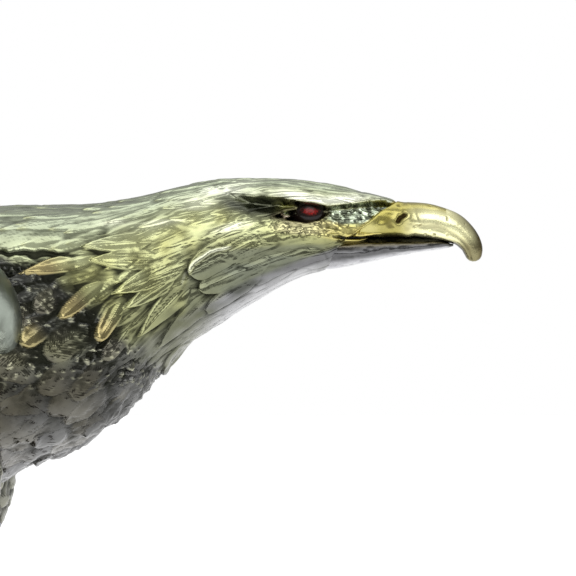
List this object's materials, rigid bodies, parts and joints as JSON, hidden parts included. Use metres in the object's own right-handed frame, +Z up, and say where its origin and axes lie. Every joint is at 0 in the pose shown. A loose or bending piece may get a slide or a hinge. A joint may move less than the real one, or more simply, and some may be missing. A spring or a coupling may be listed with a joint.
{
  "type": "bronze eagle statuette",
  "caption": "Cast bronze eagle statuette with raised wings, stretched neck and hooked beak, gripping a crag on a wooden plinth.",
  "frame": {"origin": "centre of the felt's underside, on the surface that the plinth stands on", "axes": "+X the way the beak points, +Y the bird's left, +Z up"},
  "size_m": [0.3692, 0.3264, 0.4048],
  "materials": {
    "felt": "baize",
    "plinth_wood": "satin varnish",
    "crag_bronze": "dark patina over cast bronze",
    "foot_bronze": "waxed golden patina",
    "body_bronze": "olive-black patina over cast bronze",
    "head_bronze": "olive-gold patina with rubbed highlights",
    "wing_bronze": "brown-olive patina with rubbed highlights",
    "beak_bronze": "polished gold patina",
    "lower_beak_bronze": "grey patina",
    "eye_glass": "polished red glass",
    "steel": "machined"
  },
  "bodies": {
    "root": {"felt_pad": "felt", "plinth": "plinth_wood", "rock": "crag_bronze", "rock_bolts": "steel", "rock_bolt_washers": "steel", "right_foot": "foot_bronze", "left_foot": "foot_bronze", "right_thigh": "body_bronze", "left_thigh": "body_bronze", "right_leg_rod": "steel", "left_leg_rod": "steel", "leg_nuts": "steel", "leg_washers": "steel", "torso": "body_bronze", "head_and_neck": "head_bronze", "neck_pins": "steel", "upper_beak": "beak_bronze", "lower_beak": "lower_beak_bronze", "right_eye": "eye_glass", "left_eye": "eye_glass", "right_wing": "wing_bronze", "left_wing": "wing_bronze", "right_wing_screw": "steel", "left_wing_screw": "steel", "tail": "wing_bronze", "tail_screw": "steel"}
  },
  "joints": []
}
